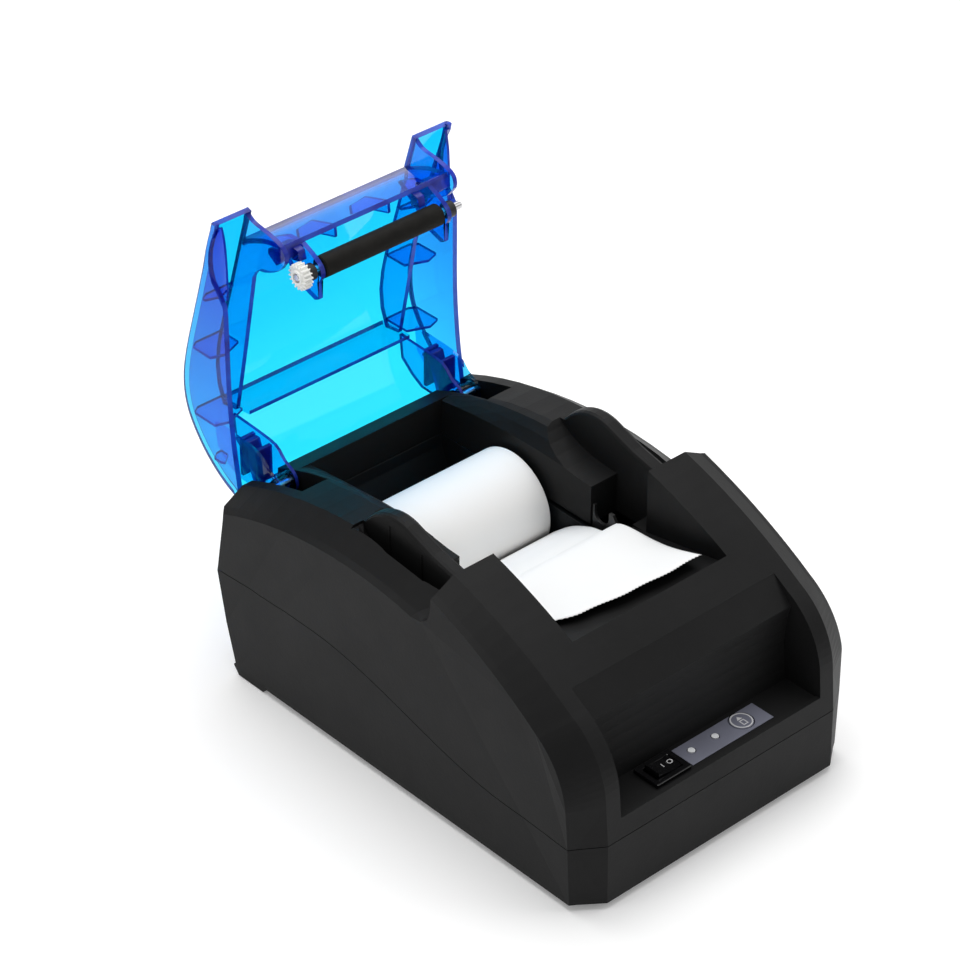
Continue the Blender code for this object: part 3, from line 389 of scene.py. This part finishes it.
def grid(bm, rows, skip=lambda i, j: False):
    """Faces between rows of points, one quad to each cell that isn't skipped."""
    made = [[bm.verts.new(point) for point in row] for row in rows]
    for i, (a, b) in enumerate(zip(made, made[1:])):
        for j in range(len(a) - 1):
            if not skip(i, j):
                bm.faces.new((a[j], a[j + 1], b[j + 1], b[j]))
    bmesh.ops.delete(bm, geom=[v for v in bm.verts if not v.link_faces], context="VERTS")


def band(bm, first, second):
    """The faces between two closed rings of points.  Returns them."""
    count = len(first)
    pairs = [(i, (i + 1) % count) for i in range(count)]
    return [bm.faces.new((first[i], first[j], second[j], second[i])) for i, j in pairs]


def blade(name, outline, low, high, across="X", face=None):
    """A flat rib of the cover: an outline pushed from low to high, with a rim of edge_blue."""
    bm = bmesh.new()
    sides = []
    for at in (low, high):
        points = [(at, u, v) if across == "X" else (u, at, v) for u, v in outline]
        sides.append([bm.verts.new(in_cover(*point)) for point in points])
    caps = [bm.faces.new(sides[0]), bm.faces.new(sides[1])]
    # Rims take edge_blue, whose violet-blue is painted light carried in the plastic, except the shelf's
    # wide sides.
    for rim in band(bm, *sides):
        rim.material_index = 0 if face and rim.calc_area() > WIDE_FACE else 1
    bmesh.ops.triangulate(bm, faces=caps)
    obj = piece(name, bm, (face or rib_blue, edge_blue), "cover", smooth=False)
    return round_edges(obj, 0.3, 2, 40)


def rod(name, centre, radius, length, sides=32):
    """A round bar of the cover along X with softened ends, centred at (x, y, z)."""
    bm = bmesh.new()
    x, y, z = centre
    soft = min(0.4, radius * 0.4)
    profile = ((-length / 2, radius - soft), (-length / 2 + soft, radius), (length / 2 - soft, radius),
               (length / 2, radius - soft))
    angles = [2 * math.pi * i / sides for i in range(sides)]
    rings = [[bm.verts.new(in_cover(x + dx, y + r * math.cos(a), z + r * math.sin(a))) for a in angles]
             for dx, r in profile]
    for first, second in zip(rings, rings[1:]):
        band(bm, first, second)
    bm.faces.new(rings[0])
    bm.faces.new(rings[-1])
    crisp(piece(name, bm, (rib_blue,), "cover"))


# ---- the cover, in the shut case frame ---------------------------------------------------

COVER_X = 53.2              # half width over the side walls
SKIN = 2.1
HORN_X = 36.8
CORNER = 1.6                # radius between the dome and a side wall
NOTCH_Y = 3.4               # where the dome ends, between the horns
WIDE_FACE = 400 * MM * MM   # a rim face of the shelf larger than this is one of its sides
DOME = curve([(-10.8, 94.8), (5, 99.7), (20, 104.2), (33, 108.2), (45, 111.8), (55, 114.1), (63, 114.6),
              (70, 113.5), (76, 110.9), (83, 106.0), (89, 99.9), (93.5, 93.3), (96.1, 87.4)])
LOW_EDGE = curve([(-11.2, 92.4), (-9.2, 92.3), (-5, 94.4), (0.5, 96.2), (7, 96.8), (13, 95.2), (17, 91.8),
                  (20, 89.8), (30, 89.5), (55, 89.4), (75, 88.0), (92.5, 85.6), (96.3, 86.4)])
SCOOP_LOW = curve([(-9.0, 92.2), (-3, 91.0), (5, 90.5), (13, 90.4), (18.6, 90.6)], 3)

BAR = curve([(3.7, 97.9), (2.4, 94.8), (0.6, 90.8), (-1.3, 85.8), (-2.3, 80.6), (-2.9, 76.4)], 3)
BAR_RIB = [(-1.0, 79), (2.7, 91.5), (9.5, 99.6), (13, 98.8), (6.5, 89), (3.6, 78.5)]
BAR_TAB = [(-2.0, 77.2), (-1.2, 73.6), (2.4, 72.6), (3.4, 77.0)]
SHELF = [(72.9, 112.6), (72.2, 97.4), (73.8, 97.3), (74.6, 112.0)]

HORN_FRONT = curve([(-10.2, 94.4), (-7.4, 90.7), (-6.1, 82.8), (-4.6, 77.0), (-3.0, 74.4), (-0.6, 73.5),
                    (1.6, 73.8)], 3)
HORN_REAR = curve([(1.6, 73.8), (6.0, 77.4), (9.4, 84.0), (10.6, 88.6), (14.4, 91.2)], 3)
LONG_RIB = [(45, 97.2), (74, 103.2)]
BRACKET = curve([(-2.0, 76.6), (0.4, 71.2), (3.4, 67.0), (7.0, 66.0), (10.4, 68.2)], 3) + [
    (16.4, 67.7), (17.4, 69.7), (14.4, 79), (9, 83), (3, 92), (-1.3, 84)]
BRACKET_LINK = [(-2.6, 76.4), (0.2, 83.8), (2.4, 83.8), (5.2, 79.6), (1.4, 75.5)]
# Each gusset as its y, the height of its foot and its inner x.
GUSSETS = ((22.5, 98.9, 38.2), (45.0, 97.4, 38.2), (72.4, 96.6, 38.2), (86.6, 94.4, 47.0))
ARM = [(75.8, 104.4), *curve([(76.4, 92), (77.6, 81.5), (81.8, 76.6), (84.6, 71.6), (89.2, 69.9),
                              (92.6, 72.2), (93.2, 80), (93.1, 92.6)], 3), (90, 98), (85.4, 103.4)]
ARM_WEBS = (((77.7, 84), (77.7, 82.4), (92.5, 82.4), (92.5, 84)),
            ((77.1, 92.8), (77.1, 91.3), (92.7, 91.3), (92.7, 92.8)),
            ((77.8, 91.0), (77.8, 89.0), (91.6, 84.2), (92.4, 85.6)))


def make_cover():
    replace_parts(cover_shell_piece(), "cover_shell")
    for side in (-1, 1):
        scoop_piece(side)
        side_ribs(side)
    bar_piece()
    for n, x in enumerate((-12.0, 12.0)):
        blade(f"bar_rib_{n}", BAR_RIB, x - 0.7, x + 0.7)
    for n, x in enumerate((-31.5, 22.0)):
        blade(f"bar_tab_{n}", BAR_TAB, x - 1.6, x + 1.6)
    blade("shelf", SHELF, -37.4, 37.4, face=cover_blue)


def cover_shell_piece():
    """Dome and side walls as one skin, open below and notched in front between the horns."""
    rows = []
    bends = [math.radians(a) for a in (0, 18, 36, 54, 72, 90)]
    flats = (-HORN_X, -24, -12, 0, 12, 24, HORN_X)
    for y, top in DOME:
        low = height_at(LOW_EDGE, y)
        drop = max(top - low, 0.3)
        bend = min(CORNER, drop * 0.45)
        side = [(COVER_X, low + (top - bend - low) * t) for t in (0, 0.33, 0.66)]
        side += [(COVER_X - bend + bend * math.cos(a), top - bend + bend * math.sin(a)) for a in bends]
        row = [in_cover(-x, y, z) for x, z in side] + [in_cover(x, y, top) for x in flats]
        rows.append(row + [in_cover(x, y, z) for x, z in reversed(side)])
    first = 3 + len(bends)
    notch = sum(y < NOTCH_Y for y, _ in DOME)
    bm = bmesh.new()
    grid(bm, rows, lambda i, j: i < notch and first <= j < first + len(flats) - 1)
    # The side walls take the darker wall_blue, painted shade for walls seen slantwise; the bend between
    # dome and wall takes edge_blue, a painted dark violet-blue line of light carried in the wall.
    for face in bm.faces:
        across = abs(face.calc_center_median().x)
        wall = across > (COVER_X - 0.05) * MM
        face.material_index = 1 if wall else 2 if across > (COVER_X - CORNER) * MM else 0
    obj = piece("cover_skin", bm, (cover_blue, wall_blue, edge_blue), "cover")
    return thicken(obj, SKIN, rim=2)


def side_name(side):
    return "left" if side < 0 else "right"


def scoop_piece(side):
    """The dished finger grip that leans in from the foot of a horn's side wall."""
    rows = []
    for y, low in SCOOP_LOW:
        high = height_at(LOW_EDGE, y) + 0.4
        row = []
        for i in range(7):
            t = i / 6
            depth = 0.4 + 2.2 * math.sin(t * math.pi / 2)
            row.append(in_cover(side * (COVER_X - 0.4 - depth), y, high + (low - high) * t ** 1.3))
        rows.append(row)
    bm = bmesh.new()
    grid(bm, rows)
    name = f"scoop_{side_name(side)}"
    thicken(piece(name, bm, (wall_blue, edge_blue), "cover"), 1.0, 0.0)


def bar_piece():
    """The bent bar that joins the horns in front of the roller."""
    bm = bmesh.new()
    grid(bm, [[in_cover(x, y, z) for x in (-HORN_X, -18, 0, 18, HORN_X)] for y, z in BAR])
    thicken(piece("front_bar", bm, (rib_blue, edge_blue), "cover"), 1.9, 0.0)


def side_ribs(side):
    """Horn wall with its long rib, roller bracket, gussets and hinge arms of one side."""
    tag = side_name(side)

    def plate(name, outline, low, high):
        first, second = sorted((side * low, side * high))
        return blade(f"{name}_{tag}", outline, first, second)

    under_dome = [(y, height_at(DOME, y) - 1.1) for y in (75, 68, 60, 52, 45, 32, 20, 5, -6)]
    plate("horn_wall", HORN_FRONT + HORN_REAR[1:] + LONG_RIB + under_dome, HORN_X + 0.1, HORN_X + 2.0)
    plate("roller_bracket", BRACKET, 27.5, 29.4)
    plate("bracket_link", BRACKET_LINK, 28.5, 37.6)
    for n, (y, low, inner) in enumerate(GUSSETS):
        top = height_at(DOME, y) - 1.0
        outer = COVER_X - 1.2
        middle = (inner + COVER_X) / 2 + 1.0
        web = [(inner, low + 3.4), (middle, low), (outer, low + 1.8), (outer, top - 2), (COVER_X - 4, top),
               (inner, top)]
        blade(f"gusset_{n}_{tag}", [(side * x, z) for x, z in web], y - 0.65, y + 0.65, "Y")
    plate("arm_inner", ARM, 38.3, 39.7)
    plate("arm_outer", ARM, 45.9, 47.3).data.materials[1] = rib_blue
    for n, web in enumerate(ARM_WEBS):
        plate(f"arm_web_{n}", web, 39.8, 46.0)
    rod(f"knuckle_{tag}", (side * 42.9, hinge[1] / MM + ORIGIN_Y, hinge[2] / MM), 4.0, 9.2)


# ---- paper -------------------------------------------------------------------------------

ROLL_R, ROLL_HALF, ROLL_BORE = 20.0, 28.7, 8.5
LOOSE_END = 0.14            # the step where the outer turn ends
LOOSE_END_TURN = 200        # degrees
STRIP_HALF = 28.7
STRIP_THICKNESS = 0.12
RISE = curve([(27.3, 52.6), (18, 60.1), (8.5, 64.7), (2.8, 66.1), (0.2, 67.8), (-1.8, 70.6),
              (-4, 72.7)], 4)
LAY = [(y, -z) for y, z in curve([(4, -72.7), (7.0, -73.9), (12, -74.6), (22, -75.1), (32, -76.7),
                                  (46, -80.8)], 6)]      # distance forward, and height in the tray
TOOTH = 0.32                # half the depth of the torn edge's teeth
COLUMNS, LENGTHS = 80, 18   # cells across the strip, and along the part of it in the tray


def make_roll():
    """The roll, with soft rims and the step that the loose end makes."""
    y, z = roll_axis[1] / MM + ORIGIN_Y, roll_axis[2] / MM
    steps = 120
    end = -ROLL_HALF
    rim = [(ROLL_BORE, end + 0.4), (ROLL_BORE + 0.3, end + 0.1), (14.0, end + 0.16), (19.5, end),
           (19.85, end + 0.12), (ROLL_R, end + 0.4)]
    bm = bmesh.new()
    rings = []
    for r, x in rim + [(r, -x) for r, x in reversed(rim)]:
        ring = []
        for i in range(steps):
            turn = i / steps
            worn = r - LOOSE_END * turn if r > 19 else r
            angle = 2 * math.pi * turn + math.radians(LOOSE_END_TURN)
            point = in_case(x, y + worn * math.cos(angle), z + worn * math.sin(angle))
            ring.append(bm.verts.new(point))
        rings.append(ring)
    for first, second in zip(rings, rings[1:] + rings[:1]):
        band(bm, first, second)
    obj = piece("wound_roll", bm, (wound_paper,), "roll")
    round_edges(obj, 0.06, 1, 60)
    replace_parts(obj, "paper_roll")


def strip_point(s, t, torn):
    """A point of the strip in the tray: s runs from left to right, t from the tear bar to its torn end."""
    x = -STRIP_HALF + 2 * STRIP_HALF * s
    end = -35.4 - 8.3 * s - 2.2 * math.sin(s * math.pi) - 0.35 * math.sin(s * 19)
    y = -4 + (end + 4) * t + torn
    corner = max(0.0, 1 - s / 0.16) * max(0.0, (t - 0.8) / 0.2)
    y += 3.2 * corner ** 1.6
    curl = 0.4 * s * s * t ** 3 - 1.2 * (1 - s) ** 3 * t ** 3
    return in_case(x - t * (0.6 - s), y, height_at(LAY, -y) + curl)


def make_receipt():
    """The free end: up from the roll, over the tear bar, lying in the tray and torn across in front."""
    shares = [j / COLUMNS for j in range(COLUMNS + 1)]
    rows = [[in_case(-STRIP_HALF + 2 * STRIP_HALF * s, y, z) for s in shares] for y, z in RISE[:-1]]
    for i in range(LENGTHS):
        rows.append([strip_point(s, i / LENGTHS, 0) for s in shares])
    rows.append([strip_point(s, 1, TOOTH if j % 2 else -TOOTH) for j, s in enumerate(shares)])
    bm = bmesh.new()
    grid(bm, rows)
    obj = piece("printed_strip", bm, (thermal,), nodes["receipt_sheet"]["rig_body"])
    solid = obj.modifiers.new("Thickness", "SOLIDIFY")
    solid.thickness = STRIP_THICKNESS * MM
    solid.offset = 0.0
    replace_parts(obj, "receipt_sheet")


# ---- marks on the panel ------------------------------------------------------------------

def surface_at(node, x, y):
    """The top of a CAD node under (x, y) of the case's frame: point and normal."""
    tree = BVHTree.FromPolygons([v.co for v in nodes[node].data.vertices],
                                [tuple(p.vertices) for p in nodes[node].data.polygons])
    start = in_case(x, y, 200)
    point, normal, _, _ = tree.ray_cast(start, Vector((0, 0, -1)))
    return point, normal


MARK_LIFT, MARK_FOOT = 0.05, -0.02      # a mark's top and underside, from the surface under it


def mark(name, node, x, y, outline, hole=None):
    """A thin white printed shape on a node, from an outline about (x, y), with a matching hole outline."""
    point, normal = surface_at(node, x, y)
    turn = Vector((0, 0, 1)).rotation_difference(normal)
    bm = bmesh.new()

    def ring(points, z):
        return [bm.verts.new(point + turn @ (Vector((u, v, z)) * MM)) for u, v in points]

    tops, feet = ring(outline, MARK_LIFT), ring(outline, MARK_FOOT)
    if hole:
        inner, inner_feet = ring(hole, MARK_LIFT), ring(hole, MARK_FOOT)
        band(bm, tops, inner)
        band(bm, inner, inner_feet)
        band(bm, inner_feet, feet)
    else:
        bm.faces.new(tops)
        bm.faces.new(feet)
    band(bm, feet, tops)
    piece(name, bm, (mark_white,), nodes[node]["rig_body"], smooth=False)


def circle(radius, sides=40):
    angles = [2 * math.pi * i / sides for i in range(sides)]
    return [(radius * math.cos(a), radius * math.sin(a)) for a in angles]


def box_outline(half_width, low, high):
    return [(-half_width, low), (half_width, low), (half_width, high), (-half_width, high)]


def make_marks():
    """A ring and a paper-feed sign on the button; a bar and a circle on the rocker."""
    low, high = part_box("feed_button")
    x, y = (low.x + high.x) / 2 / MM, (low.y + high.y) / 2 / MM + ORIGIN_Y
    mark("button_ring", "feed_button", x, y, circle(4.0), circle(3.5))
    mark("feed_page", "feed_button", x, y, box_outline(1.1, -2.4, 0.2), box_outline(0.72, -2.02, -0.18))
    mark("feed_arrow", "feed_button", x, y, [(-1.2, 0.7), (1.2, 0.7), (0, 2.3)])
    mark("switch_on", "rocker", -18.9, -75.9, box_outline(0.17, -0.9, 0.9))
    mark("switch_off", "rocker", -15.6, -75.9, circle(1.05), circle(0.72))


# ---- stage -------------------------------------------------------------------------------

FACING = -42.6              # degrees the sweep is turned, to stand behind the printer in the main view


def make_floor():
    """A pale sweep: level floor that turns up behind the printer."""
    bm = bmesh.new()
    turns = [math.radians(a) for a in range(0, 91, 6)]
    bend = [(1.2 + 0.6 * math.sin(a), 0.6 - 0.6 * math.cos(a)) for a in turns]
    profile = [(-3.0, 0.0), *bend, (1.8, 3.0)]
    grid(bm, [[(x, along, up) for x in (-3.5, 3.5)] for along, up in profile])
    mesh = bpy.data.meshes.new("floor")
    bm.to_mesh(mesh)
    bm.free()
    mesh.shade_smooth()
    floor = bpy.data.objects.new("floor", mesh)
    floor.rotation_euler.z = math.radians(FACING)
    bpy.context.scene.collection.objects.link(floor)
    n = Nodes("floor_white")
    n.principled(Base_Color=n.ramp(n.noise(1.5), (0.90, 0.90, 0.90), (0.93, 0.93, 0.93)), Roughness=0.85,
                 Specular_IOR_Level=0.1, Emission_Color=(1, 1, 1, 1), Emission_Strength=0.16)
    mesh.materials.append(n.material)


def area_light(name, place, target, size, power):
    light = bpy.data.lights.new(name, "AREA")
    light.size = size
    light.energy = power
    obj = bpy.data.objects.new(name, light)
    obj.location = place
    obj.rotation_euler = (Vector(target) - Vector(place)).to_track_quat("-Z", "Y").to_euler()
    bpy.context.scene.collection.objects.link(obj)


def make_studio():
    """Soft white light from all round, with a large lamp overhead and weak ones at the sides."""
    world = bpy.data.worlds.new("studio")
    world.use_nodes = True
    background = world.node_tree.nodes["Background"]
    background.inputs["Color"].default_value = (1, 1, 1, 1)
    background.inputs["Strength"].default_value = 0.36
    bpy.context.scene.world = world
    area_light("overhead", (0.1, 0.35, 1.5), (0, 0, 0), 1.6, 22.5)
    area_light("key", (1.1, -0.9, 1.1), (0, 0, 0.05), 1.0, 3.5)
    area_light("fill", (-1.5, 0.1, 0.9), (0, 0, 0.05), 0.9, 2.5)
    bpy.context.scene.view_settings.view_transform = "Standard"
    bpy.context.scene.view_settings.look = "None"


CAMERA_PLACE = (-0.6866, -0.7341, 0.7804)
CAMERA_AZIMUTH, CAMERA_ELEVATION, CAMERA_ROLL = -42.61, 34.46, 0.31     # degrees
CAMERA_LENS = 134.57        # millimetres, on a 36 mm sensor


def make_camera():
    camera = bpy.data.cameras.new("camera")
    camera.lens = CAMERA_LENS
    camera.sensor_width = 36.0
    camera.sensor_fit = "HORIZONTAL"
    camera.clip_end = 20
    obj = bpy.data.objects.new("camera", camera)
    turn = Matrix.Rotation(math.radians(CAMERA_AZIMUTH), 4, "Z")
    tilt = Matrix.Rotation(math.radians(90 - CAMERA_ELEVATION), 4, "X")
    roll = Matrix.Rotation(math.radians(CAMERA_ROLL), 4, "Z")
    obj.matrix_world = Matrix.Translation(CAMERA_PLACE) @ turn @ tilt @ roll
    bpy.context.scene.collection.objects.link(obj)
    bpy.context.scene.camera = obj


EDGE_SOFTNESS = {"lower_case": 0.5, "upper_case": 0.5, "paper_bin": 0.35, "switch_body": 0.3,
                 "head_bracket": 0.2, "panel_label": 0.1}      # millimetres
for name, width in EDGE_SOFTNESS.items():
    soften(name, width)
make_cover()
make_roll()
make_receipt()
make_marks()
make_floor()
make_studio()
make_camera()
